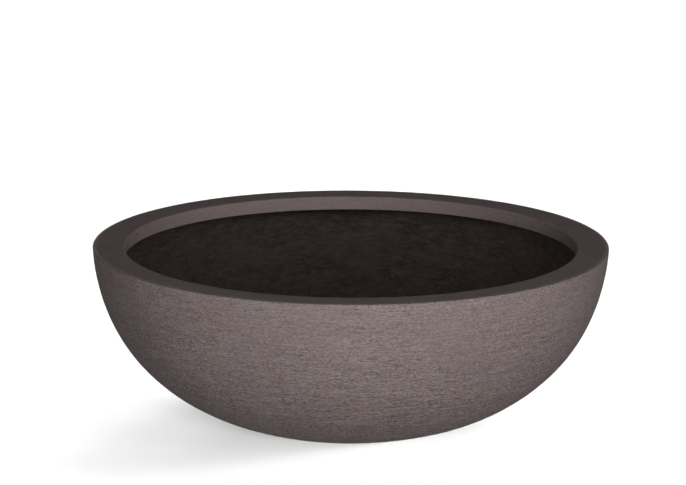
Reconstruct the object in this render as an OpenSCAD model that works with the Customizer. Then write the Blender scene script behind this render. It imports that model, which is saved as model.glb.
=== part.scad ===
// Low bowl planter: a thin moulded stone-composite bowl with a wide flat rim.
// The origin is on the floor under the bowl's centre, +Z is up, and lengths are millimetres.

/* [Bowl] */
// Diameter over the rim, which is the bowl's widest place
bowl_d = 804; // [700:2:900]
// Height from the floor to the top of the rim
bowl_h = 280; // [250:1:310]
// Diameter of the flat underside
base_d = 316; // [280:1:350]
// How far the wall leans in where it meets the rim, in degrees
rim_lean = 4; // [0:0.5:8]
// How steeply the wall leaves the floor at the base's edge, in degrees
foot_slope = 14; // [8:0.5:20]
// How far the wall's curve keeps to its lean below the rim: more makes it fuller there
rim_pull = 150; // [110:1:170]
// How far the wall's curve keeps to its slope above the base: more makes it flatter there
foot_pull = 141; // [100:1:165]
// Radius on the outer edge of the rim
rim_edge_r = 1.5; // [1:0.5:4]

/* [Skin and lining] */
// Thickness of the stone-composite skin
skin_t = 6; // [5.5:0.5:8]
// Thickness of the glass-fibre lining
lining_t = 4; // [3:0.5:6]
// Resin film between bonded curved faces
bond_film = 0.3; // [0.2:0.05:0.5]

/* [Rim collar] */
// Width of the flat rim, from the outer edge to the mouth
rim_w = 48; // [42:1:56]
// Thickness of the collar's flat flange
flange_t = 8; // [6:0.5:10]
// Thickness of the collar's hanging lip
lip_t = 8; // [6:0.5:10]
// Depth of the lip below the top of the rim
lip_depth = 22.5; // [20:0.5:30]
// Radius on the lip's upper inner edge
mouth_edge_r = 3; // [2:0.5:4]
// Radius on the edges of the lip's foot
lip_edge_r = 2; // [1:0.5:2.5]
// Radius of the moulded corner between flange and lip, underneath
collar_corner_r = 3; // [2:0.5:4]
// Leg of the bonding bead in the corner under the flange
bead_leg = 12; // [8:1:14]

/* [Base] */
// Thickness of the plywood ring that stiffens the floor
core_t = 10; // [9:0.5:14]
// How far the plywood ring's outer edge lies inside the edge of the base
core_inset = 23; // [20:1:32]
// Diameter of the recess under the middle of the base
recess_d = 84; // [76:1:96]
// Slack between the plywood ring and the recess's moulded wall
core_slack = 0.5; // [0.3:0.1:1]

/* [Foot pads] */
// Number of foot pads
pad_count = 4; // [3:1:6]
// Diameter of a foot pad
pad_d = 40; // [30:1:46]
// Thickness of a foot pad
pad_t = 4; // [3.5:0.5:5]
// How far a pad stands proud of the base
pad_proud = 2; // [1:0.5:3]
// How far a pad's outer edge lies inside the edge of the base
pad_inset = 20; // [14:1:30]
// Slack round a pad in its pocket
pad_slack = 0.4; // [0.2:0.1:0.8]

/* [Drain] */
// Bore of the drain outlet
drain_bore_d = 24; // [20:0.5:26]
// Wall of the drain outlet's tube
drain_wall = 4; // [3:0.5:5]
// Slack between the outlet's tube and the holes that it passes through
drain_slack = 0.5; // [0.3:0.1:1]
// Diameter of the outlet's flange
drain_flange_d = 54; // [50:1:60]
// Thickness of the outlet's flange
drain_flange_t = 3; // [2:0.5:5]
// Thickness of the gasket under the flange
gasket_t = 2; // [1:0.5:3]
// Width across the flats of the lock nut
nut_flats = 44; // [42:1:48]
// Thickness of the lock nut
nut_t = 5; // [4:0.5:6]
// How far the outlet's tube comes out below the nut
tube_tail = 1.5; // [1:0.5:2]
// Radial slack in the lock nut's thread
thread_slack = 0.05; // [0.03:0.01:0.1]

/* [Plug] */
// Length of the plug's tapered stem
plug_stem = 15; // [12:1:16]
// How much narrower the stem is than the bore at its top, in diameter
plug_slack = 0.6; // [0.2:0.1:1]
// How much the stem narrows towards its foot, in diameter
plug_taper = 2; // [1:0.5:3]
// Diameter of the plug's cap
plug_cap_d = 38; // [34:1:42]
// Thickness of the plug's cap
plug_cap_t = 3; // [2:0.5:4]
// Mean radius of the plug's pull loop
loop_r = 13; // [11:0.5:14]
// Thickness of the pull loop
loop_t = 5; // [4:0.5:6]

/* [Hidden] */
PADS = ["foot_pad_1", "foot_pad_2", "foot_pad_3", "foot_pad_4", "foot_pad_5", "foot_pad_6"];

// Chords in the wall's curve and in a round corner, and halvings that find a height on the curve
wall_steps = 40;
round_steps = 8;
halvings = 30;
$fn = 180;

// How far a cut runs past the face that it goes through
past = 1;

stone = [0.44, 0.39, 0.38];
stone_rim = [0.30, 0.27, 0.26];
resin_black = [0.13, 0.11, 0.11];
resin_bead = [0.20, 0.18, 0.17];
plywood = [0.72, 0.58, 0.40];
drain_grey = [0.16, 0.16, 0.17];
rubber_black = [0.07, 0.07, 0.07];

bowl_r = bowl_d / 2;
base_z = pad_proud;
base_r = base_d / 2;
core_r = base_r - core_inset;
pad_circle_r = base_r - pad_inset - pad_d / 2;
mouth_r = bowl_r - rim_w;

// The floor inside: skin, then core, then lining, all flat
skin_floor_z = base_z + skin_t;
core_top_z = skin_floor_z + core_t;
floor_z = core_top_z + lining_t;
recess_r = recess_d / 2;
recess_top_z = core_top_z - skin_t;
boss_r = recess_r + skin_t;

// Heights at the rim
flange_under_z = bowl_h - flange_t;
lip_foot_z = bowl_h - lip_depth;
lining_outer = skin_t + bond_film;
lining_inner = lining_outer + lining_t;

// The drain stands on the lining's floor
tube_r = drain_bore_d / 2 + drain_wall;
drain_hole_r = tube_r + drain_slack;
flange_z = floor_z + gasket_t;
cap_z = flange_z + drain_flange_t;
nut_z = recess_top_z - nut_t;
tube_foot_z = nut_z - tube_tail;

// The wall in section is one smooth curve from the rim to the edge of the base. It runs
// from t = 0 to t = 1, and a little way on, where the inner skins still need it.
rim_end = [bowl_r, bowl_h];
base_end = [base_r, base_z];
rim_knot = rim_end - rim_pull * [sin(rim_lean), cos(rim_lean)];
base_knot = base_end + foot_pull * [cos(foot_slope), sin(foot_slope)];
curve_end = 1.2;

function curve(t) =
    (1 - t) ^ 3 * rim_end + 3 * (1 - t) ^ 2 * t * rim_knot
        + 3 * (1 - t) * t ^ 2 * base_knot + t ^ 3 * base_end;
function curve_way(t) =
    (1 - t) ^ 2 * (rim_knot - rim_end) + 2 * (1 - t) * t * (base_knot - rim_knot)
        + t ^ 2 * (base_end - base_knot);

// The curve moved in by a depth: its point at t, its t at a height, its radius at a
// height, and the points between two heights
function wall_point(depth, t) =
    let (way = curve_way(t))
    curve(t) + depth * [way[1], -way[0]] / norm(way);
function wall_t(depth, z, low = 0, high = curve_end, left = halvings) =
    let (middle = (low + high) / 2)
    left == 0 ? middle
        : wall_point(depth, middle)[1] > z ? wall_t(depth, z, middle, high, left - 1)
        : wall_t(depth, z, low, middle, left - 1);
function wall_r(depth, z) = wall_point(depth, wall_t(depth, z))[0];
function wall_line(depth, z0, z1, steps = wall_steps) =
    let (t0 = wall_t(depth, z0), t1 = wall_t(depth, z1))
    [for (i = [0 : steps]) wall_point(depth, t0 + (t1 - t0) * i / steps)];

// Points of a round corner in section, from one angle to another
function corner(centre, r, a0, a1, steps = round_steps) =
    [for (i = [0 : steps]) let (a = a0 + (a1 - a0) * i / steps) centre + r * [cos(a), sin(a)]];

// The moulded bowl: wall, flat base, and a recess for the drain's lock nut
module outer_skin() {
    color(stone) difference() {
        rotate_extrude() polygon(concat(
            [[drain_hole_r, recess_top_z], [recess_r, recess_top_z], [recess_r, base_z]],
            wall_line(0, base_z, bowl_h - rim_edge_r),
            corner([wall_r(0, bowl_h - rim_edge_r) - rim_edge_r, bowl_h - rim_edge_r], rim_edge_r, 0, 90),
            wall_line(skin_t, bowl_h, skin_floor_z),
            [[boss_r, skin_floor_z], [boss_r, core_top_z], [drain_hole_r, core_top_z]]
        ));
        for (i = [0 : pad_count - 1]) on_pad_circle(i)
            cylinder(d = pad_d + 2 * pad_slack, h = pad_t);
    }
}

// The flat rim and its hanging lip, moulded as one ring and dropped into the bowl's
// mouth, where its flange sits on the end of the lining
module rim_collar() {
    lip_r = mouth_r + lip_t;
    edge_z = lip_foot_z + lip_edge_r;
    color(stone_rim) rotate_extrude() polygon(concat(
        [[wall_r(lining_outer, flange_under_z), flange_under_z], [wall_r(lining_outer, bowl_h), bowl_h]],
        corner([mouth_r + mouth_edge_r, bowl_h - mouth_edge_r], mouth_edge_r, 90, 180),
        corner([mouth_r + lip_edge_r, edge_z], lip_edge_r, 180, 270),
        corner([lip_r - lip_edge_r, edge_z], lip_edge_r, 270, 360),
        corner([lip_r + collar_corner_r, flange_under_z - collar_corner_r], collar_corner_r, 180, 90)
    ));
}

// The bead of bonding paste in the corner under the flange. Its face is hollow and
// meets the wall and the flange at a slope, so that its edges aren't feathered.
module rim_bead() {
    bead_depth = lining_inner + bond_film;
    foot_z = flange_under_z - bead_leg;
    bead_slope = 15;
    face_r = bead_leg * sqrt(2);
    foot = [wall_r(bead_depth, foot_z), foot_z];
    face_centre = foot - face_r * [cos(bead_slope), sin(bead_slope)];
    color(resin_bead) rotate_extrude() polygon(concat(
        wall_line(bead_depth, foot_z, flange_under_z, round_steps),
        [for (i = [0 : round_steps - 1])
            let (a = 90 - bead_slope + (2 * bead_slope - 90) * i / round_steps)
                face_centre + face_r * [cos(a), sin(a)]]
    ));
}

// The black glass-fibre lining, laid over the plywood core and up the wall
module glass_lining() {
    core_edge_r = core_r + core_slack;
    color(resin_black) rotate_extrude() polygon(concat(
        [[drain_hole_r, core_top_z], [core_edge_r, core_top_z], [core_edge_r, skin_floor_z]],
        wall_line(lining_outer, skin_floor_z, flange_under_z),
        wall_line(lining_inner, flange_under_z, floor_z),
        [[drain_hole_r, floor_z]]
    ));
}

// The plywood ring between skin and lining, which stiffens the floor round the drain
module base_core() {
    color(plywood) translate([0, 0, skin_floor_z]) difference() {
        cylinder(r = core_r, h = core_t);
        translate([0, 0, -past]) cylinder(r = boss_r + core_slack, h = core_t + 2 * past);
    }
}

// The drain outlet: a flange on the floor and a threaded tube down through the base
module drain_outlet() {
    color(drain_grey) rotate_extrude() polygon([
        [drain_bore_d / 2, tube_foot_z], [tube_r, tube_foot_z], [tube_r, flange_z],
        [drain_flange_d / 2, flange_z], [drain_flange_d / 2, cap_z], [drain_bore_d / 2, cap_z]
    ]);
}

// The flat ring that seals the outlet's flange to the lining
module drain_gasket() {
    color(rubber_black) translate([0, 0, floor_z]) difference() {
        cylinder(d = drain_flange_d, h = gasket_t);
        translate([0, 0, -past]) cylinder(r = drain_hole_r, h = gasket_t + 2 * past);
    }
}

// The hexagonal lock nut that clamps the outlet from below, inside the recess
module drain_nut() {
    color(drain_grey) translate([0, 0, nut_z]) difference() {
        cylinder(d = nut_flats / cos(30), h = nut_t, $fn = 6);
        translate([0, 0, -past]) cylinder(r = tube_r + thread_slack, h = nut_t + 2 * past);
    }
}

// The rubber plug: a tapered stem in the outlet's bore, a cap and a pull loop
module drain_plug() {
    stem_r = (drain_bore_d - plug_slack) / 2;
    cap_top_z = cap_z + plug_cap_t;
    color(rubber_black) union() {
        rotate_extrude() polygon([
            [0, cap_z - plug_stem], [stem_r - plug_taper / 2, cap_z - plug_stem],
            [stem_r, cap_z], [plug_cap_d / 2, cap_z], [plug_cap_d / 2, cap_top_z], [0, cap_top_z]
        ]);
        translate([0, 0, cap_top_z - plug_cap_t / 2]) rotate([90, 0, 0])
            rotate_extrude(angle = 180) translate([loop_r, 0]) circle(d = loop_t);
    }
}

// Puts its children on the floor where a pad stands
module on_pad_circle(i) {
    rotate(360 * (i + 0.5) / pad_count) translate([pad_circle_r, 0]) children();
}

// A foot pad, glued into its shallow pocket in the base
module foot_pad(i) {
    color(rubber_black) on_pad_circle(i) cylinder(d = pad_d, h = pad_t);
}

outer_skin();
rim_collar();
rim_bead();
glass_lining();
base_core();
drain_outlet();
drain_gasket();
drain_nut();
drain_plug();
for (i = [0 : pad_count - 1])
    foot_pad(i);
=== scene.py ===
from math import atan, cos, pi, radians, sin

import bmesh
import bpy
import numpy as np
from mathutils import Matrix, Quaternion, Vector, noise


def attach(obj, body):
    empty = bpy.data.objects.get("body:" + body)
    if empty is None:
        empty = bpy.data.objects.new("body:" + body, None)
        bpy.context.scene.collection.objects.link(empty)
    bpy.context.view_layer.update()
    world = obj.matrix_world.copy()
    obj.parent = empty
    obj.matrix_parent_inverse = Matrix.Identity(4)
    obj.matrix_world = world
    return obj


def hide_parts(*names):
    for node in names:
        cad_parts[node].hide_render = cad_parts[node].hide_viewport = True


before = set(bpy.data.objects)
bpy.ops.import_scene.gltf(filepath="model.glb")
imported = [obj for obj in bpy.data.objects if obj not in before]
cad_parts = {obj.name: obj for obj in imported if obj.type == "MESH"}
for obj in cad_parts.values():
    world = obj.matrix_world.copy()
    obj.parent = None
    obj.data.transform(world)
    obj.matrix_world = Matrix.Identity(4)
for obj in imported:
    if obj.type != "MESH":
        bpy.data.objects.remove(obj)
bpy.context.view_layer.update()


# The skin. The bowl's outside is a stone composite, pressed wet into a mould in a coat
# about 6 mm thick, then raked round and round with a stiff brush before it set. Its flat
# underside has a recess for the drain's nut and four shallow pockets for the foot pads.

bowl_r, bowl_h = 402.0, 280.0
base_r, base_z = 158.0, 2.0
rim_lean, foot_slope = radians(4), radians(14)
rim_pull, foot_pull = 150.0, 141.0

# The wall's curve in section runs from 0 at the rim to 1 at the base's edge, and a little
# on for the skins inside it. A height on it is found by halvings.
curve_end, halvings, fine_steps = 1.2, 30, 200

rim_end = np.array([bowl_r, bowl_h])
base_end = np.array([base_r, base_z])
rim_knot = rim_end - rim_pull * np.array([sin(rim_lean), cos(rim_lean)])
base_knot = base_end + foot_pull * np.array([cos(foot_slope), sin(foot_slope)])


def wall_point(depth, t):
    """The wall's curve in section, moved in by a depth: radius and height in mm."""
    curve = ((1 - t) ** 3 * rim_end + 3 * (1 - t) ** 2 * t * rim_knot
             + 3 * (1 - t) * t ** 2 * base_knot + t ** 3 * base_end)
    way = ((1 - t) ** 2 * (rim_knot - rim_end) + 2 * (1 - t) * t * (base_knot - rim_knot)
           + t ** 2 * (base_end - base_knot))
    return curve + depth * np.array([way[1], -way[0]]) / np.hypot(*way)


def wall_t(depth, z):
    """Where on the wall's curve a height lies."""
    low, high = 0.0, curve_end
    for _ in range(halvings):
        middle = (low + high) / 2
        if wall_point(depth, middle)[1] > z:
            low = middle
        else:
            high = middle
    return low


def wall_r(depth, z):
    """The radius of the wall's curve at a height."""
    return wall_point(depth, wall_t(depth, z))[0]


def in_steps(points, pitch):
    """The same line in section, with its points at equal steps of about a pitch."""
    points = np.asarray(points, float)
    run = np.concatenate([[0], np.cumsum(np.hypot(*np.diff(points, axis=0).T))])
    at = np.linspace(0, run[-1], max(1, round(run[-1] / pitch)) + 1)
    return np.column_stack([np.interp(at, run, points[:, k]) for k in (0, 1)])


def wall_line(depth, z0, z1, pitch):
    """The wall's curve from one height to another, in steps of about a pitch."""
    ts = np.linspace(wall_t(depth, z0), wall_t(depth, z1), fine_steps)
    return in_steps([wall_point(depth, t) for t in ts], pitch)


def corner(centre, r, a0, a1, steps):
    """A round corner in section, from one angle to another."""
    turn = np.radians(np.linspace(a0, a1, steps + 1))
    return np.array(centre) + r * np.column_stack([np.cos(turn), np.sin(turn)])


def flat(start, end, pitch):
    """A straight line in section, in steps of about a pitch."""
    return in_steps([start, end], pitch)


down_line = wall_line(0, bowl_h, base_z, 1)
down_run = np.concatenate([[0], np.cumsum(np.hypot(*np.diff(down_line, axis=0).T))])
foot_run = down_run[-1] / 1000


def down_wall(z):
    """How far down the wall a height lies, in mm along the wall from the rim."""
    return np.interp(z, down_line[::-1, 1], down_run[::-1])


def wander(across, size, down, drop, shift):
    """Smooth chance values, about -1 to 1, that change over a size across the surface
    and over a drop down it. All are in mm."""
    places = np.column_stack([across[:, 0] / size, across[:, 1] / size, down / drop]) + shift
    return np.array([noise.noise(p) for p in places.tolist()])


def turned(name, lines, columns, form=None, centre=(0, 0)):
    """Turns a closed section round an upright axis. The section's lines are in mm, each
    with the weight of the relief on it. A form moves the points of the finished grid."""
    section, weight = [], []
    for line, share in lines:
        for point in np.atleast_2d(line):
            if not section or np.hypot(*(point - section[-1])) > 1e-6:
                section.append(point)
                weight.append(share)
    if np.hypot(*(section[0] - section[-1])) < 1e-6:
        section.pop()
        weight.pop()
    section, weight = np.array(section), np.array(weight, float)
    along = np.roll(section, -1, 0) - np.roll(section, 1, 0)
    face_out = np.column_stack([along[:, 1], -along[:, 0]])
    face_out /= np.maximum(np.hypot(*face_out.T), 1e-9)[:, None]
    turn = np.repeat(2 * pi * np.arange(columns) / columns, len(section))
    r, z = np.tile(section[:, 0], columns), np.tile(section[:, 1], columns)
    extra = {}
    if form:
        r, z, extra = form(r, z, turn, np.tile(weight, columns), np.tile(face_out, (columns, 1)))
    points = np.column_stack([r * np.cos(turn) + centre[0], r * np.sin(turn) + centre[1], z]) / 1000
    i = np.arange(columns * len(section)).reshape(columns, len(section))
    right, up = np.roll(i, -1, 0), np.roll(i, -1, 1)
    faces = np.stack([i, right, np.roll(right, -1, 1), up], axis=-1).reshape(-1, 4)
    mesh = bpy.data.meshes.new(name)
    mesh.from_pydata(points.tolist(), [], faces.tolist())
    for word, values in extra.items():
        mesh.attributes.new(word, "FLOAT", "POINT").data.foreach_set("value", values.astype(np.float32))
    if section[:, 0].min() < 1e-6:
        work = bmesh.new()
        work.from_mesh(mesh)
        middle = Vector(centre) / 1000
        poles = [v for v in work.verts if (v.co.xy - middle).length < 1e-6]
        bmesh.ops.remove_doubles(work, verts=poles, dist=1e-6)
        bmesh.ops.dissolve_degenerate(work, edges=work.edges, dist=1e-7)
        work.to_mesh(mesh)
        work.free()
    piece = bpy.data.objects.new(name, mesh)
    bpy.context.scene.collection.objects.link(piece)
    smooth(piece)
    return piece


def smooth(piece, sharp_above=40):
    """Smooth shading, with an edge kept sharp above an angle in degrees."""
    piece.data.shade_smooth()
    piece.data.set_sharp_from_angle(angle=radians(sharp_above))


def pressed(depth, r, z, face_out):
    """Moves points in along their own normals by a depth in mm."""
    return r - depth * face_out[:, 0], z - depth * face_out[:, 1]


def apply_modifiers(piece):
    """Keeps the mesh that the piece's modifiers make, and drops the modifiers."""
    evaluated = piece.evaluated_get(bpy.context.evaluated_depsgraph_get())
    made = bpy.data.meshes.new_from_object(evaluated)
    piece.modifiers.clear()
    made.materials.clear()
    piece.data = made


brush_sway, groove_depth, hair_depth = 2.2, 0.40, 0.12
fine_share, long_share, groove_from = 1.7, 0.8, 0.25
calm_from, calm_to = 5, 25
rim_swell, wall_swell, rim_set_in = 0.10, 0.35, 0.14


def raking(r, z, turn, weight, face_out):
    """The brush's marks: short level grooves with a thin wandering spacing, broad hand
    unevenness under them, and a calmer band close to the rim. The relief goes both ways
    from the true surface, except at the rim, where it only goes in."""
    on_wall = weight > 0
    down = down_wall(z)
    across = np.column_stack([r * np.cos(turn), r * np.sin(turn)])
    groove, depth = np.zeros_like(r), np.zeros_like(r)
    a, d, w = across[on_wall], down[on_wall], weight[on_wall]
    level = d + brush_sway * wander(a, 70, d, 60, 3.1)
    fine = wander(a, 16, level, 4.4, 11.7)
    long = wander(a, 60, level, 7.5, 23.3)
    broad = wander(a, 120, d, 90, 41.9)
    free = np.clip((d - calm_from) / (calm_to - calm_from), 0, 1)
    groove[on_wall] = w * np.clip(fine_share * fine + long_share * long - groove_from, 0, 1)
    swell = broad * (rim_swell + (wall_swell - rim_swell) * free) + rim_set_in * (1 - free)
    cut = groove_depth * groove[on_wall] + hair_depth * fine
    depth[on_wall] = w * cut + np.minimum(w * 3, 1) * swell
    r, z = pressed(depth, r, z, face_out)
    return r, z, {"down_wall": down / 1000, "groove": groove}


skin_t, rim_edge_r = 6.0, 1.5
recess_r, recess_top_z, boss_r = 42.0, 12.0, 48.0
skin_floor_z, core_top_z = 8.0, 18.0
recess_edge_r, recess_mouth_r = 1.0, 1.5
drain_hole_r = 16.5
calm_z, rake_foot_z, rake_pitch = bowl_h - 15, base_z + 2, 1.95
sole_r = base_r - 4
edge_foot_z = bowl_h - rim_edge_r
edge_centre = (wall_r(0, edge_foot_z) - rim_edge_r, edge_foot_z)

skin = turned("raked_skin", [
    (flat((drain_hole_r, recess_top_z), (recess_r - recess_edge_r, recess_top_z), 6), 0),
    (corner((recess_r - recess_edge_r, recess_top_z - recess_edge_r), recess_edge_r, 90, 0, 3), 0),
    (flat((recess_r, recess_top_z - recess_edge_r), (recess_r, base_z + recess_mouth_r), 3), 0),
    (corner((recess_r + recess_mouth_r, base_z + recess_mouth_r), recess_mouth_r, 180, 270, 4), 0),
    (flat((recess_r + recess_mouth_r, base_z), (sole_r, base_z), 14), 0),
    (wall_line(0, base_z, rake_foot_z, rake_pitch), 0.5),
    (wall_line(0, rake_foot_z, calm_z, rake_pitch)[1:], 1),
    (wall_line(0, calm_z, edge_foot_z, rake_pitch)[1:], 0.35),
    (corner(edge_centre, rim_edge_r, 0, 90, 4)[1:], 0.2),
    (flat((edge_centre[0], bowl_h), (wall_r(skin_t, bowl_h), bowl_h), 1.3), 0.08),
    (wall_line(skin_t, bowl_h, skin_floor_z, 36)[1:], 0),
    (flat((wall_r(skin_t, skin_floor_z), skin_floor_z), (boss_r, skin_floor_z), 40), 0),
    ((boss_r, core_top_z), 0),
    ((drain_hole_r, core_top_z), 0),
], 384, raking)

pad_r, pad_t, pad_slack, pad_circle_r = 20.0, 4.0, 0.4, 118.0
pad_turns = [pi / 4 + pi / 2 * i for i in range(4)]
pad_places = [(pad_circle_r * cos(turn), pad_circle_r * sin(turn)) for turn in pad_turns]
pocket_r, below = pad_r + pad_slack, -2.0
for place in pad_places:
    cutter = turned("pocket", [
        ((0, below), 0), ((pocket_r, below), 0), ((pocket_r, pad_t), 0), ((0, pad_t), 0),
    ], 72, centre=place)
    cut = skin.modifiers.new("pocket", "BOOLEAN")
    cut.operation, cut.solver, cut.object = "DIFFERENCE", "MANIFOLD", cutter
    apply_modifiers(skin)
    bpy.data.objects.remove(cutter)
smooth(skin)

# The pockets' new points get the same values as the rest of the underside
points = np.array([v.co for v in skin.data.vertices]) * 1000
heights = points[:, 2]
underside = (np.hypot(points[:, 0], points[:, 1]) < base_r - 3) & (heights < recess_top_z + 1)
for word, wanted in (("down_wall", foot_run + (heights - base_z) / 1000), ("groove", 0 * heights)):
    values = np.zeros(len(points), np.float32)
    skin.data.attributes[word].data.foreach_get("value", values)
    values[underside] = wanted[underside]
    skin.data.attributes[word].data.foreach_set("value", values)


def finish(name, colour, roughness, specular=0.5):
    """Starts a material: its nodes, its shader, and the place on the surface in metres."""
    material = bpy.data.materials.new(name)
    material.use_nodes = True
    tree = material.node_tree
    shader = tree.nodes["Principled BSDF"]
    shader.inputs["Base Color"].default_value = (*colour, 1)
    shader.inputs["Roughness"].default_value = roughness
    shader.inputs["Specular IOR Level"].default_value = specular
    place = tree.nodes.new("ShaderNodeTexCoord").outputs["Object"]
    return material, tree, shader, place


def add(tree, kind, given, **settings):
    """Adds a node. What is given to each input is a number, a colour or an output."""
    made = tree.nodes.new("ShaderNode" + kind)
    for word, value in settings.items():
        setattr(made, word, value)
    for key, value in given.items():
        if isinstance(value, bpy.types.NodeSocket):
            tree.links.new(value, made.inputs[key])
        else:
            made.inputs[key].default_value = value
    return made


def calc(tree, operation, a, b=0.0, c=0.0, clamp=False):
    """The result of a sum on numbers or outputs."""
    return add(tree, "Math", {0: a, 1: b, 2: c}, operation=operation, use_clamp=clamp).outputs[0]


def stretched(tree, place, sizes):
    """The place counted in grains of the given sizes, in metres."""
    counts = tuple(1 / s for s in sizes)
    return add(tree, "VectorMath", {0: place, 1: counts}, operation="MULTIPLY").outputs[0]


def grain(tree, place, size, detail=2.0, rough=0.5, warp=0.0):
    """Cloudy chance values from 0 to 1 at a size in metres, or on a place already stretched."""
    return add(tree, "TexNoise", {"Vector": place, "Scale": 1 / size, "Detail": detail,
                                  "Roughness": rough, "Distortion": warp}).outputs["Fac"]


def between(tree, value, low, high):
    """0 below low, 1 above high, and a smooth rise between them."""
    return add(tree, "MapRange", {"Value": value, "From Min": low, "From Max": high},
               interpolation_type="SMOOTHSTEP").outputs["Result"]


def blend(tree, amount, under, over, way="MIX"):
    """Lays one colour over another by an amount."""
    under, over = [c if isinstance(c, bpy.types.NodeSocket) else (*c, 1) for c in (under, over)]
    given = {0: amount, 6: under, 7: over}
    return add(tree, "Mix", given, data_type="RGBA", blend_type=way).outputs[2]


def times(colour, share):
    """A colour made lighter or darker by a share."""
    return [share * c for c in colour]


def bumped(tree, shader, height, depth, strength=1.0):
    """Adds fine relief to a shader. The depth, in metres, is what a height of 1 gives."""
    bump = add(tree, "Bump", {"Height": height, "Distance": depth, "Strength": strength})
    tree.links.new(bump.outputs["Normal"], shader.inputs["Normal"])


def composite(name, albedo, rough, calm):
    """Stone composite: a warm grey paste with a large soft unevenness of tone, fine level
    marks of the brush, dark specks, and pin holes where air was. Raked paste is rougher in
    its grooves, which also get painted shade, has painted highlights along its ridges, and
    has painted contact shade towards the foot. Calm paste, on the collar, has fainter marks.
    Both get painted shade on top, at the rim."""
    material, tree, shader, place = finish(name, albedo, rough, 0.35)
    split = add(tree, "SeparateXYZ", {0: place})
    if calm:
        down, groove = split.outputs["Z"], 0.0
        pit_share, mark_relief, relief_depth = 0.15, 0.8, 0.00030
    else:
        down = add(tree, "Attribute", {}, attribute_name="down_wall").outputs["Fac"]
        groove = add(tree, "Attribute", {}, attribute_name="groove").outputs["Fac"]
        pit_share, mark_relief, relief_depth = 0.30, 2.4, 0.00045
    across = {0: split.outputs["X"], 1: split.outputs["Y"], 2: down}
    wrapped = add(tree, "CombineXYZ", across).outputs[0]
    cloud = grain(tree, place, 0.16, 3, 0.55)
    patch = grain(tree, place, 0.035, 4, 0.6)
    speck = grain(tree, place, 0.0022, 2, 0.7)
    nap = grain(tree, stretched(tree, wrapped, (0.0047, 0.0047, 0.0018)), 1, 1, 0.6, 0.2)
    streak = grain(tree, stretched(tree, wrapped, (0.028, 0.028, 0.0026)), 1, 3, 0.6, 0.4)
    drag = grain(tree, stretched(tree, wrapped, (0.085, 0.085, 0.0024)), 1, 2, 0.5, 0.1)
    mark = calc(tree, "MULTIPLY_ADD", streak, 0.3, calc(tree, "MULTIPLY", drag, 0.12))
    mark = calc(tree, "MULTIPLY_ADD", nap, 0.58, mark)
    pit = between(tree, mark, 0.40, 0.35)
    holes = add(tree, "TexVoronoi", {"Vector": wrapped, "Scale": 1 / 0.024, "Randomness": 1.0})
    lot = add(tree, "SeparateColor", {0: holes.outputs["Color"]}).outputs["Red"]
    hole_r = calc(tree, "MULTIPLY", between(tree, lot, 0.66, 1.0), 0.090)
    hole = calc(tree, "LESS_THAN", holes.outputs["Distance"], hole_r)

    tone = blend(tree, cloud, times(albedo, 0.90), times(albedo, 1.10))
    warm = (albedo[0] * 1.03, albedo[1] * 0.975, albedo[2] * 0.965)
    tone = blend(tree, between(tree, patch, 0.35, 0.7), tone, warm)
    if calm:
        contrast = 0.9
        chip = grain(tree, stretched(tree, place, (0.009, 0.009, 0.003)), 1, 2, 0.6, 0.8)
        light = calc(tree, "MULTIPLY", between(tree, chip, 0.66, 0.74), 0.40)
    else:
        lower = calc(tree, "MULTIPLY", between(tree, down, 0.01, 0.26), 2.2)
        contrast = calc(tree, "MULTIPLY_ADD", between(tree, cloud, 0.35, 0.65), 1.1,
                        calc(tree, "ADD", lower, 1.7))
        # Painted highlight along the ridges of the raking marks, stronger lower down
        light = calc(tree, "MULTIPLY", between(tree, drag, 0.58, 0.68),
                     calc(tree, "MULTIPLY_ADD", lower, 0.10, 0.16))
    shade = calc(tree, "MULTIPLY_ADD", calc(tree, "SUBTRACT", mark, 0.5), contrast, 1.0)
    tone = add(tree, "VectorMath", {0: tone, "Scale": shade}, operation="SCALE").outputs[0]
    tone = blend(tree, calc(tree, "MULTIPLY", pit, pit_share), tone, times(albedo, 0.45))
    if not calm:
        # Painted shade in the grooves
        tone = blend(tree, calc(tree, "MULTIPLY", groove, 0.20), tone, times(albedo, 0.55))
    tone = blend(tree, light, tone, times(albedo, 1.35))
    dark_speck = calc(tree, "MULTIPLY", between(tree, speck, 0.60, 0.78), 0.35)
    tone = blend(tree, dark_speck, tone, times(albedo, 0.5))
    tone = blend(tree, calc(tree, "MULTIPLY", hole, 0.85), tone, times(albedo, 0.25))
    if calm:
        # Painted shade on the collar's flat top and the top of the mouth's round edge
        top_z = bowl_h / 1000
        top_shade = between(tree, down, top_z - 0.0022, top_z - 0.0008)
        tone = blend(tree, top_shade, tone, (0.78, 0.78, 0.78), "MULTIPLY")
    else:
        # Painted contact shade: the last 45 mm of the wall down to the foot
        foot = between(tree, down, foot_run - 0.045, foot_run)
        tone = blend(tree, calc(tree, "MULTIPLY", foot, 0.6), tone, times(albedo, 0.40))
        # Painted shade on the skin's top band and its rounded outer edge
        top_shade = between(tree, down, 0.0016, 0.0004)
        tone = blend(tree, top_shade, tone, (0.66, 0.65, 0.65), "MULTIPLY")
    tree.links.new(tone, shader.inputs["Base Color"])

    wear = calc(tree, "MULTIPLY_ADD", patch, 0.16, rough - 0.08)
    dusty = calc(tree, "MULTIPLY_ADD", groove, 0.08, wear, clamp=True)
    tree.links.new(dusty, shader.inputs["Roughness"])
    height = calc(tree, "MULTIPLY", mark, mark_relief)
    height = calc(tree, "MULTIPLY_ADD", speck, 0.25, height)
    height = calc(tree, "MULTIPLY_ADD", patch, 0.6, height)
    height = calc(tree, "SUBTRACT", height, calc(tree, "MULTIPLY", hole, 1.5))
    bumped(tree, shader, height, relief_depth)
    return material


skin.data.materials.append(composite("raked_stone", (0.292, 0.239, 0.232), 0.86, calm=False))
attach(skin, "bowl")
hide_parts("outer_skin")


# The core. A ring of plywood is bedded on the skin's flat floor while the resin is wet,
# and keeps the floor from flexing. It is closed in all round, so the sawn ring stays as
# it was cut, with its plies showing on the edges.

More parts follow.
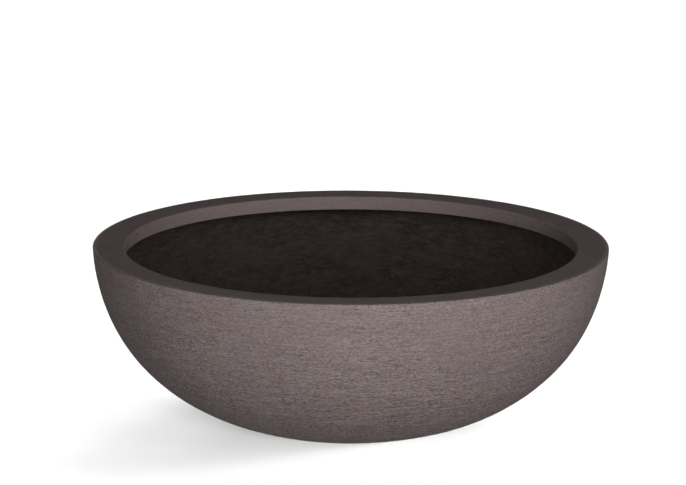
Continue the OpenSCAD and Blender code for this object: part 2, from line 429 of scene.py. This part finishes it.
ply, tree, shader, place = finish("birch_ply", (0.52, 0.36, 0.20), 0.62)
split = add(tree, "SeparateXYZ", {0: place})
ply_step = 0.00143
layer = calc(tree, "FRACT", calc(tree, "DIVIDE", split.outputs["Z"], 2 * ply_step))
cross = between(tree, layer, 0.47, 0.53)
with_face = grain(tree, stretched(tree, place, (0.05, 0.0012, 0.004)), 1, 4, 0.6, 0.4)
end_face = grain(tree, stretched(tree, place, (0.0016, 0.0016, 0.05)), 1, 3, 0.6)
pores = blend(tree, cross, (0.56, 0.40, 0.23), (0.36, 0.235, 0.125))
pores = blend(tree, calc(tree, "MULTIPLY", with_face, 0.55), pores, (0.40, 0.26, 0.13))
open_pores = calc(tree, "MULTIPLY", between(tree, end_face, 0.55, 0.8), 0.5)
pores = blend(tree, open_pores, pores, (0.22, 0.13, 0.07))
tree.links.new(pores, shader.inputs["Base Color"])
tree.links.new(calc(tree, "MULTIPLY_ADD", with_face, 0.2, 0.52), shader.inputs["Roughness"])
bumped(tree, shader, calc(tree, "ADD", with_face, end_face), 0.00025)
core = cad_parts["base_core"]
core.data.materials.clear()
core.data.materials.append(ply)


# The lining. Glass mat and black resin, laid by hand over the core and up the wall to
# the flange. Where the wet mat crept and crumpled it set in shallow folds, satin on the
# crests and dull between.

lining_outer, lining_t = 6.3, 4.0
lining_inner = lining_outer + lining_t
flange_under_z = bowl_h - 8.0
floor_z = core_top_z + lining_t
core_inset, core_slack = 23.0, 0.5
core_edge_r = base_r - core_inset + core_slack
drain_seat_r, seat_fade = 46.0, 25.0
fold_sway, crest_narrow, fold_share, crease_share = 9, 2.2, 0.55, 0.45
fold_depth, sag_depth = 1.1, 0.5


def crumpling(r, z, turn, weight, face_out):
    """Folds in the laid mat, which only go into the lining and die out at the drain."""
    shown = weight > 0
    across = np.column_stack([r * np.cos(turn), r * np.sin(turn)])[shown]
    d = z[shown]
    sway = fold_sway * wander(across, 55, d, 55, 5.3)
    folds = 1 - np.abs(wander(across + sway[:, None], 32, d, 17, 17.9)) * crest_narrow
    creases = 1 - np.abs(wander(across, 17, d + sway, 8, 31.1)) * crest_narrow
    sag = wander(across, 90, d, 70, 47.7)
    fold = np.zeros_like(r)
    fold[shown] = np.clip(fold_share * folds + crease_share * creases, 0, 1)
    depth = np.zeros_like(r)
    depth[shown] = weight[shown] * (fold_depth * (1 - fold[shown]) + sag_depth * (1 + sag))
    seat = np.clip((r - drain_seat_r) / seat_fade, 0, 1)
    r, z = pressed(depth * seat, r, z, face_out)
    return r, z, {"fold": fold}


lining = turned("laid_lining", [
    (flat((drain_hole_r, core_top_z), (core_edge_r, core_top_z), 30), 0),
    (flat((core_edge_r, core_top_z), (core_edge_r, skin_floor_z), 5), 0),
    (wall_line(lining_outer, skin_floor_z, flange_under_z, 20), 0),
    (wall_line(lining_inner, flange_under_z, floor_z, 3.3), 1),
    (flat((wall_r(lining_inner, floor_z), floor_z), (drain_hole_r, floor_z), 3.9), 1),
], 480, crumpling)


def strands_laid(tree, place, angle):
    """The mat's glass strands that lie at one angle, in degrees."""
    given = {"Vector": place, "Angle": radians(angle), "Axis": (0.3, 0.2, 1)}
    laid = add(tree, "VectorRotate", given).outputs[0]
    return grain(tree, stretched(tree, laid, (0.022, 0.0013, 0.0032)), 1, 2, 0.5)


laminate, tree, shader, place = finish("mat_and_resin", (0.024, 0.018, 0.017), 0.7, 0.22)
fold = add(tree, "Attribute", {}, attribute_name="fold").outputs["Fac"]
pool = grain(tree, place, 0.05, 3, 0.55)
dust = grain(tree, place, 0.012, 4, 0.6)
strands = 0.0
for angle in (12, 74, 131):
    strands = calc(tree, "MAXIMUM", strands, strands_laid(tree, place, angle))
strand = between(tree, strands, 0.60, 0.80)
ruck = grain(tree, stretched(tree, place, (0.017, 0.017, 0.0062)), 1, 2, 0.55, 0.6)
ruck_side = calc(tree, "ABSOLUTE", calc(tree, "SUBTRACT", ruck, 0.5))
line = calc(tree, "MULTIPLY", between(tree, ruck_side, 0.075, 0.0), between(tree, pool, 0.30, 0.60))
crease_shade = (0.008, 0.005, 0.005)
tone = blend(tree, pool, (0.0270, 0.0170, 0.0166), (0.0360, 0.0228, 0.0223))
dusty = calc(tree, "MULTIPLY", between(tree, dust, 0.48, 0.75), 0.30)
tone = blend(tree, dusty, tone, (0.050, 0.034, 0.033))
tone = blend(tree, calc(tree, "MULTIPLY", strand, 0.35), tone, (0.042, 0.028, 0.027))
# Painted shade in the hollows of the folds and along the crease lines
hollow = calc(tree, "MULTIPLY", calc(tree, "SUBTRACT", 1.0, fold), 0.35)
tone = blend(tree, hollow, tone, crease_shade)
tone = blend(tree, calc(tree, "MULTIPLY", line, 0.55), tone, crease_shade)
tree.links.new(tone, shader.inputs["Base Color"])
dull = calc(tree, "MULTIPLY_ADD", dust, 0.25, 0.62)
tree.links.new(calc(tree, "MULTIPLY_ADD", fold, -0.10, dull), shader.inputs["Roughness"])
height = calc(tree, "MULTIPLY_ADD", strand, 0.5, calc(tree, "MULTIPLY", dust, 1.2))
height = calc(tree, "MULTIPLY_ADD", ruck, 9.0, calc(tree, "MULTIPLY_ADD", line, -1.2, height))
bumped(tree, shader, height, 0.0006)
lining.data.materials.append(laminate)
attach(lining, "bowl")
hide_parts("glass_lining")


# The rim collar. The flat rim and the lip that hangs from its inner edge are one moulded
# ring of the same composite, dropped into the mouth on the lining's end, glued, and then
# rubbed down flush with the skin. Its top is smoother than the wall.

mouth_r, lip_t, lip_foot_z = 354.0, 8.0, 257.5
mouth_edge_r, collar_corner_r = 3.0, 3.0
lip_edge_r = 2.0
mouth_off_round, lip_reach, lip_fade = 2.0, 14.0, 10.0
sweep_depth, pat_depth, nick_depth, nick_from = 0.30, 0.16, 2.2, 0.42


def rubbing(r, z, turn, weight, face_out):
    """Slight unevenness left by rubbing down by hand, and small nicks along the edges.
    The mouth isn't quite round: the lip stands a little further in on the left and right."""
    across = np.column_stack([r * np.cos(turn), r * np.sin(turn)])
    shown = weight > 0
    depth = np.zeros_like(r)
    a, d = across[shown], z[shown]
    sweep = wander(a, 80, d, 40, 7.7)
    pat = wander(a, 14, d, 8, 19.3)
    nick = np.clip(wander(a, 7, d, 5, 29.9) - nick_from, 0, 1)
    worn = sweep_depth * (1 + sweep) + pat_depth * (1 + pat) + nick_depth * nick
    depth[shown] = weight[shown] * worn
    at_lip = np.clip((mouth_r + lip_reach - r) / lip_fade, 0, 1)
    r, z = pressed(depth, r, z, face_out)
    return r - mouth_off_round * at_lip * np.cos(turn) ** 2, z, {}


lip_back_r = mouth_r + lip_t
lip_edge_z = lip_foot_z + lip_edge_r
flange_corner = (lip_back_r + collar_corner_r, flange_under_z - collar_corner_r)
flange_outer_r = wall_r(skin_t, flange_under_z)
collar = turned("collar", [
    (wall_line(skin_t, flange_under_z, bowl_h, 3), 0),
    (flat((wall_r(skin_t, bowl_h), bowl_h), (mouth_r + mouth_edge_r, bowl_h), 2.2), 0.35),
    (corner((mouth_r + mouth_edge_r, bowl_h - mouth_edge_r), mouth_edge_r, 90, 180, 6), 0.6),
    (flat((mouth_r, bowl_h - mouth_edge_r), (mouth_r, lip_edge_z), 1.9), 0.8),
    (corner((mouth_r + lip_edge_r, lip_edge_z), lip_edge_r, 180, 270, 4), 0.4),
    (corner((lip_back_r - lip_edge_r, lip_edge_z), lip_edge_r, 270, 360, 4), 0.4),
    (flat((lip_back_r, lip_edge_z), (lip_back_r, flange_corner[1]), 3), 0.4),
    (corner(flange_corner, collar_corner_r, 180, 90, 4), 0.2),
    (flat((flange_corner[0], flange_under_z), (flange_outer_r, flange_under_z), 6), 0),
], 768, rubbing)
collar.data.materials.append(composite("rubbed_stone", (0.208, 0.166, 0.162), 0.74, calm=True))
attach(collar, "bowl")
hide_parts("rim_collar")


# The bead. Dark bonding paste fills the corner under the flange and is drawn off with a
# gloved finger, so its hollow face swells and thins a little all the way round.

bead_leg, bead_slope, bond_film = 12.0, 15, 0.3
bead_depth = lining_inner + bond_film
bead_foot_z = flange_under_z - bead_leg
bead_face_r = bead_leg * 2 ** 0.5
bead_foot = np.array([wall_r(bead_depth, bead_foot_z), bead_foot_z])
bead_centre = bead_foot - bead_face_r * np.array([cos(radians(bead_slope)), sin(radians(bead_slope))])
finger_depth = 0.7


def fingered(r, z, turn, weight, face_out):
    """The swells and hollows that the finger leaves in the bead's face."""
    across = np.column_stack([r * np.cos(turn), r * np.sin(turn)])
    swell = wander(across, 38, z, 30, 3.9) + 0.6 * wander(across, 11, z, 9, 13.7)
    r, z = pressed(weight * finger_depth * (0.9 + swell), r, z, face_out)
    return r, z, {}


bead = turned("paste_bead", [
    (wall_line(bead_depth, bead_foot_z, flange_under_z, 2), 0),
    (corner(bead_centre, bead_face_r, 90 - bead_slope, bead_slope, 10)[:-1], 1),
], 320, fingered)
paste, tree, shader, place = finish("tooled_paste", (0.050, 0.044, 0.040), 0.58)
lump = grain(tree, place, 0.008, 3, 0.6)
smear = grain(tree, stretched(tree, place, (0.03, 0.03, 0.002)), 1, 2, 0.5)
tone = blend(tree, lump, (0.036, 0.031, 0.029), (0.066, 0.059, 0.053))
tree.links.new(tone, shader.inputs["Base Color"])
tree.links.new(calc(tree, "MULTIPLY_ADD", lump, 0.2, 0.48), shader.inputs["Roughness"])
bumped(tree, shader, calc(tree, "ADD", lump, smear), 0.0004)
bead.data.materials.append(paste)
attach(bead, "bowl")
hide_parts("rim_bead")


# The drain outlet. A moulded plastic flange with a threaded tube goes down through the
# floor from inside. The bore has an eased edge, which guides the plug in.

bore_r, tube_r, tube_foot_z = 12.0, 16.0, 5.5
flange_z, cap_z, flange_r = 24.0, 27.0, 27.0
thread_pitch, thread_depth, thread_end_z = 2.0, 0.5, 17.5
thread_run_in, thread_fade = 0.4, 0.8
tube_edge, bore_edge = 0.7, 0.6
flange_edge_r, flange_foot_r, bore_mouth_r = 1.4, 0.5, 1.2


def threaded(r, z, turn, weight, face_out):
    """A thread cut on the faces that have a weight, running out at its ends."""
    phase = (z / thread_pitch - turn / (2 * pi)) % 1
    cut = 1 - np.abs(2 * phase - 1)
    start = np.clip((z - tube_foot_z - thread_run_in) / thread_fade, 0, 1)
    end = np.clip((thread_end_z - z) / thread_fade, 0, 1)
    r, z = pressed(weight * thread_depth * cut * start * end, r, z, face_out)
    return r, z, {}


outlet = turned("outlet", [
    ((bore_r, tube_foot_z + bore_edge), 0),
    ((bore_r + bore_edge, tube_foot_z), 0),
    ((tube_r - tube_edge, tube_foot_z), 0),
    (flat((tube_r, tube_foot_z + tube_edge), (tube_r, thread_end_z), 0.25), 1),
    ((tube_r, flange_z), 0),
    (flat((tube_r, flange_z), (flange_r - flange_foot_r, flange_z), 4), 0),
    (corner((flange_r - flange_foot_r, flange_z + flange_foot_r), flange_foot_r, 270, 360, 3), 0),
    (corner((flange_r - flange_edge_r, cap_z - flange_edge_r), flange_edge_r, 0, 90, 6), 0),
    (flat((flange_r - flange_edge_r, cap_z), (bore_r + bore_mouth_r, cap_z), 3), 0),
    (corner((bore_r + bore_mouth_r, cap_z - bore_mouth_r), bore_mouth_r, 90, 180, 5), 0),
    (flat((bore_r, cap_z - bore_mouth_r), (bore_r, tube_foot_z + bore_edge), 3), 0),
], 144, threaded)
moulded, tree, shader, place = finish("moulded_plastic", (0.030, 0.030, 0.032), 0.42)
sheen = grain(tree, place, 0.02, 3, 0.55)
spark = grain(tree, place, 0.0007, 2, 0.6)
scuff = grain(tree, stretched(tree, place, (0.012, 0.0006, 0.006)), 1, 2, 0.5)
tone = blend(tree, sheen, (0.026, 0.026, 0.028), (0.036, 0.036, 0.038))
scuffed = calc(tree, "MULTIPLY", between(tree, scuff, 0.62, 0.78), 0.5)
tone = blend(tree, scuffed, tone, (0.075, 0.074, 0.072))
tree.links.new(tone, shader.inputs["Base Color"])
tree.links.new(calc(tree, "MULTIPLY_ADD", sheen, 0.24, 0.32), shader.inputs["Roughness"])
bumped(tree, shader, calc(tree, "ADD", spark, scuff), 0.00012)
outlet.data.materials.append(moulded)
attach(outlet, "bowl")
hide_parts("drain_outlet")


# The gasket. A flat rubber ring, squeezed between the outlet's flange and the lining, so
# its outer edge bulges a little.

bulge_r, bulge_in = (flange_z - floor_z) / 2, 0.7
bulge_at_r = flange_r - bulge_in
gasket = turned("gasket", [
    (flat((drain_hole_r, floor_z), (bulge_at_r, floor_z), 5), 0),
    (corner((bulge_at_r, floor_z + bulge_r), bulge_r, -90, 90, 8), 0),
    (flat((bulge_at_r, flange_z), (drain_hole_r, flange_z), 5), 0),
], 144)


def rubber(name, colour, rough, size):
    """Moulded rubber: matt, with a fine lighter bloom on it."""
    material, tree, shader, place = finish(name, colour, rough, 0.4)
    bloom = grain(tree, place, size, 4, 0.6)
    tooth = grain(tree, place, size / 14, 2, 0.6)
    tone = blend(tree, between(tree, bloom, 0.35, 0.75), times(colour, 0.8), times(colour, 1.9))
    tree.links.new(tone, shader.inputs["Base Color"])
    tree.links.new(calc(tree, "MULTIPLY_ADD", bloom, 0.24, rough - 0.12), shader.inputs["Roughness"])
    bumped(tree, shader, calc(tree, "MULTIPLY_ADD", bloom, 0.6, tooth), 0.00014)
    return material


gasket.data.materials.append(rubber("pressed_rubber", (0.014, 0.014, 0.014), 0.70, 0.007))
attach(gasket, "bowl")
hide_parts("drain_gasket")


# The lock nut. A six-sided moulded nut on the outlet's thread, its corners chamfered on
# both faces, done up by hand inside the recess under the base.

nut_z, nut_t, nut_flats, nut_bore_r = 7.0, 5.0, 44.0, 16.05
nut_corner_r = nut_flats / 2 / cos(pi / 6)
bore_ease, clear_of_bore = 0.5, 0.8
chamfer_in, chamfer_steep = 0.4, 1.7


def six_sided(r, z, turn, weight, face_out):
    """Brings the round blank in to six flats, and cuts the chamfer off the corners."""
    flats = nut_flats / 2 / np.cos((turn + pi / 6) % (pi / 3) - pi / 6)
    from_face = np.minimum(z - nut_z, nut_z + nut_t - z)
    chamfer = nut_flats / 2 - chamfer_in + from_face * chamfer_steep
    outside = r > nut_bore_r + clear_of_bore
    share = np.clip((r - nut_bore_r) / (nut_corner_r - nut_bore_r), 0, 1)
    edge = np.minimum(flats, chamfer)
    return np.where(outside, nut_bore_r + share * (edge - nut_bore_r), r), z, {}


nut_top_z, nut_ease_r = nut_z + nut_t, nut_bore_r + bore_ease
nut = turned("lock_nut", [
    (flat((nut_ease_r, nut_z), (nut_corner_r, nut_z), 2), 0),
    (flat((nut_corner_r, nut_z), (nut_corner_r, nut_top_z), 0.35), 0),
    (flat((nut_corner_r, nut_top_z), (nut_ease_r, nut_top_z), 2), 0),
    (flat((nut_bore_r, nut_top_z - bore_ease), (nut_bore_r, nut_z + bore_ease), 0.5), 0),
], 144, six_sided)
nut.data.materials.append(moulded)
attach(nut, "bowl")
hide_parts("drain_nut")


# The plug. Moulded in one piece of rubber: a tapered stem with three sealing ribs, a cap
# with a soft edge, and a finger loop that grows out of the cap's top.

plug_r, stem_r, stem_foot_r, stem_foot_z = 19.0, 11.7, 10.7, 12.0
plug_top_z, plug_voxel_m = 30.0, 0.00042
loop_r, loop_thick = 13.0, 5.0
stem_end_in, stem_edge_r, cap_under_r, cap_edge_r = 0.8, 1.2, 0.6, 1.6
rib_pitch, rib_depth = 4.6, 0.45
loop_sunk, loop_lead, loop_flare, flare_from = 1.5, 0.09, 0.35, 0.30


def ribbed(r, z, turn, weight, face_out):
    """Thins the stem between its sealing ribs."""
    thin = weight * rib_depth * np.sin(pi * (z - stem_foot_z) / rib_pitch) ** 2
    return r - thin, z, {}


plug = turned("plug", [
    ((0, stem_foot_z + stem_end_in), 0),
    (corner((stem_foot_r - stem_edge_r, stem_foot_z + stem_edge_r), stem_edge_r, 270, 360, 5), 0),
    (flat((stem_foot_r, stem_foot_z + stem_edge_r), (stem_r, cap_z), 0.5), 1),
    (corner((plug_r - cap_under_r, cap_z + cap_under_r), cap_under_r, 270, 360, 3), 0),
    (corner((plug_r - cap_edge_r, plug_top_z - cap_edge_r), cap_edge_r, 0, 90, 6), 0),
    ((0, plug_top_z), 0),
], 96, ribbed)

# The loop is a bent round bar, thicker where it goes into the cap
bend = [(cos(a), sin(a)) for a in np.linspace(-loop_lead, pi + loop_lead, 45)]
ring = np.linspace(0, 2 * pi, 24, endpoint=False)
loop_points, loop_faces = [], []
for c, s in bend:
    swell = loop_thick / 2 * (1 + loop_flare * max(0, flare_from - s))
    for a in ring:
        out = loop_r + swell * cos(a)
        at_z = plug_top_z - loop_sunk + out * s
        loop_points.append((out * c / 1000, swell * sin(a) / 1000, at_z / 1000))
around = len(ring)
last = (len(bend) - 1) * around
for i in range(0, last, around):
    for j in range(around):
        k = (j + 1) % around
        loop_faces.append((i + j, i + k, i + around + k, i + around + j))
loop_faces.append(tuple(range(around - 1, -1, -1)))
loop_faces.append(tuple(range(last, last + around)))
work = bmesh.new()
work.from_mesh(plug.data)
loop_mesh = bpy.data.meshes.new("loop")
loop_mesh.from_pydata(loop_points, [], loop_faces)
work.from_mesh(loop_mesh)
bmesh.ops.recalc_face_normals(work, faces=work.faces)
work.to_mesh(plug.data)
work.free()

# Cap, stem and loop are made one skin, softened where they meet
whole = plug.modifiers.new("whole", "REMESH")
whole.mode, whole.voxel_size = "VOXEL", plug_voxel_m
soften = plug.modifiers.new("soften", "SMOOTH")
soften.factor, soften.iterations = 0.5, 4
apply_modifiers(plug)
smooth(plug, 60)
plug.data.materials.append(rubber("stopper_rubber", (0.020, 0.020, 0.021), 0.66, 0.009))
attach(plug, "plug")
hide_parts("drain_plug")


# The foot pads. Four round rubber pads are glued into the pockets of the base and stand
# proud of it, with an eased lower edge and three rings cut in the sole for grip.

pad_edge_r, pad_top_edge_r = 1.2, 0.5
sole_rings, ring_half_wide, ring_depth, ring_steep = (6, 11, 16), 0.9, 0.7, 1.6


def ringed(r, z, turn, weight, face_out):
    """Three shallow grooves in the sole."""
    cut = sum(np.clip(1 - np.abs(r - at) / ring_half_wide, 0, 1) for at in sole_rings)
    return r, z + weight * ring_depth * np.minimum(cut * ring_steep, 1), {}


sole_rubber = rubber("sole_rubber", (0.026, 0.026, 0.026), 0.74, 0.008)
for number, place in enumerate(pad_places, 1):
    pad = turned(f"pad_{number}", [
        ((0, 0), 1),
        (flat((0.5, 0), (pad_r - pad_edge_r, 0), 0.45), 1),
        (corner((pad_r - pad_edge_r, pad_edge_r), pad_edge_r, 270, 360, 5), 0),
        (corner((pad_r - pad_top_edge_r, pad_t - pad_top_edge_r), pad_top_edge_r, 0, 90, 3), 0),
        ((0, pad_t), 0),
    ], 96, ringed, place)
    pad.data.materials.append(sole_rubber)
    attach(pad, "bowl")
    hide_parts(f"foot_pad_{number}")


# The studio. A plain white floor, a large soft panel in front, a weak one high up, others
# for the lip, the inside and the back, and soft suns that light only the floor.

pieces = [o for o in bpy.context.scene.objects if o.type == "MESH"]
floor_reach, floor_sides = 60.0, 64
floor_turns = np.linspace(0, 2 * pi, floor_sides, endpoint=False)
floor_edge = [(floor_reach * cos(a), floor_reach * sin(a), 0) for a in floor_turns]
floor_mesh = bpy.data.meshes.new("floor")
floor_mesh.from_pydata(floor_edge, [], [tuple(range(len(floor_edge)))])
floor = bpy.data.objects.new("floor", floor_mesh)
bpy.context.scene.collection.objects.link(floor)
floor_white = 0.8
paper, tree, shader, place = finish("white_floor", (floor_white,) * 3, 0.9, 0.0)
floor.data.materials.append(paper)
floor.visible_diffuse = floor.visible_glossy = False

# What each lamp may light
on_floor = bpy.data.collections.new("lit_floor")
on_floor.objects.link(floor)
on_bowl = bpy.data.collections.new("lit_bowl")
on_skin = bpy.data.collections.new("lit_skin")
on_skin.objects.link(skin)
on_collar = bpy.data.collections.new("lit_collar")
on_collar.objects.link(collar)
inside = bpy.data.collections.new("lit_inside")
for piece in pieces:
    on_bowl.objects.link(piece)
for piece in (lining, bead, outlet, gasket, plug):
    inside.objects.link(piece)
aimed_at = Vector((0, 0, 0.16))


def lamp(name, kind, azimuth, height, distance, lit):
    """A lamp aimed at the bowl, which lights only one collection. Azimuth 0 is in front
    of the bowl and 90 on its right, and the height is in degrees."""
    made = bpy.data.objects.new(name, bpy.data.lights.new(name, kind))
    a, e = radians(azimuth), radians(height)
    back = Vector((sin(a) * cos(e), -cos(a) * cos(e), sin(e)))
    made.location = aimed_at + back * distance
    made.rotation_mode = "QUATERNION"
    made.rotation_quaternion = back.to_track_quat("Z", "Y")
    made.visible_camera = False
    made.light_linking.receiver_collection = lit
    bpy.context.scene.collection.objects.link(made)
    return made


# Each panel's azimuth, height, width, tallness, glow and what it lights
panels_away, suns_away = 12, 5
for name, azimuth, height, width, tall, glow, lit in (
        ("front_panel", 12, 16, 11.2, 8.6, 3.76, on_bowl),
        ("high_panel", 10, 45, 9.6, 4.8, 0.80, on_bowl),
        ("left_lip", -85, 3, 4.0, 1.2, 5.6, on_collar),
        ("right_lip", 85, 3, 4.0, 1.2, 6.6, on_collar),
        ("back_strip", 190, 3, 19.0, 1.9, 1.12, on_bowl),
        ("left_inside", -55, 12, 7.0, 4.8, 4.85, inside),
        ("right_inside", 70, 12, 7.0, 4.8, 4.42, inside),
        ("back_inside", 180, 46, 9.0, 6.0, 7.0, inside),
        ("back_panel", 183, 6, 4.6, 3.4, 5.5, on_skin)):
    made = lamp(name, "AREA", azimuth, height, panels_away, lit)
    made.visible_glossy = lit is not on_collar
    panel = made.data
    panel.shape, panel.size, panel.size_y = "RECTANGLE", width, tall
    panel.energy = glow * pi * width * tall

# Each sun's azimuth, height and width in degrees, and its share of the floor's light
for name, azimuth, height, spread, share in (
        ("sun_front", 20, 5, 24, 0.240),
        ("sun_right", 100, 3, 6, 0.100),
        ("sun_low_right", 110, 3, 6, 0.178),
        ("sun_left", -20, 7, 24, 0.281),
        ("sun_near_right", 60, 7, 24, 0.114),
        ("sun_back", 170, 28, 24, 0.261),
        ("sun_low_back", 180, 3, 24, 0.110)):
    sun = lamp(name, "SUN", azimuth, height, suns_away, on_floor).data
    sun.angle = radians(spread)
    sun.energy = share * pi / (floor_white * sin(radians(height)))

# White where the camera looks past the floor, and a faint glow from below on the bowl
world = bpy.data.worlds.new("studio")
bpy.context.scene.world = world
world.use_nodes = True
tree = world.node_tree
way = add(tree, "SeparateXYZ", {0: add(tree, "TexCoord", {}).outputs["Generated"]})
low = calc(tree, "LESS_THAN", way.outputs["Z"], 0.0)
back_glow, front_glow = 0.66, 0.37
from_back = calc(tree, "MULTIPLY", way.outputs["Y"], back_glow)
from_front = calc(tree, "MULTIPLY", way.outputs["Y"], -front_glow)
glow = calc(tree, "MULTIPLY", calc(tree, "MAXIMUM", from_back, from_front), low)
seen = add(tree, "LightPath", {}).outputs["Is Camera Ray"]
tree.links.new(calc(tree, "MAXIMUM", seen, glow), tree.nodes["Background"].inputs["Strength"])
tree.nodes["Background"].inputs["Color"].default_value = (1, 1, 1, 1)
bpy.context.scene.view_settings.view_transform = "Standard"

# The lens and the aim put the rim's centre where the photograph has it
photo_wide, photo_tall = 686, 485
lens_px, sensor_wide = 5136.0, 36
look_down, camera_roll = radians(12.8), radians(0.267)
camera_away = 8.0
rim_x_px, rim_y_px = 350.86, 244.60
aim_right = atan((rim_x_px - photo_wide / 2) / lens_px)
aim_down = atan((rim_y_px - photo_tall / 2) / lens_px)
rim_centre = Vector((0, 0, bowl_h / 1000))
camera_data = bpy.data.cameras.new("camera")
camera_data.sensor_fit, camera_data.sensor_width = "HORIZONTAL", sensor_wide
camera_data.lens = lens_px * sensor_wide / photo_wide
camera_data.clip_end = 200
camera = bpy.data.objects.new("camera", camera_data)
bpy.context.scene.collection.objects.link(camera)
back = Vector((0, -cos(look_down), sin(look_down)))
camera.location = rim_centre + camera_away * back
camera.rotation_mode = "QUATERNION"
camera.rotation_quaternion = ((-back).to_track_quat("-Z", "Y")
                              @ Quaternion((0, 1, 0), aim_right)
                              @ Quaternion((1, 0, 0), aim_down)
                              @ Quaternion((0, 0, 1), camera_roll))
bpy.context.scene.camera = camera
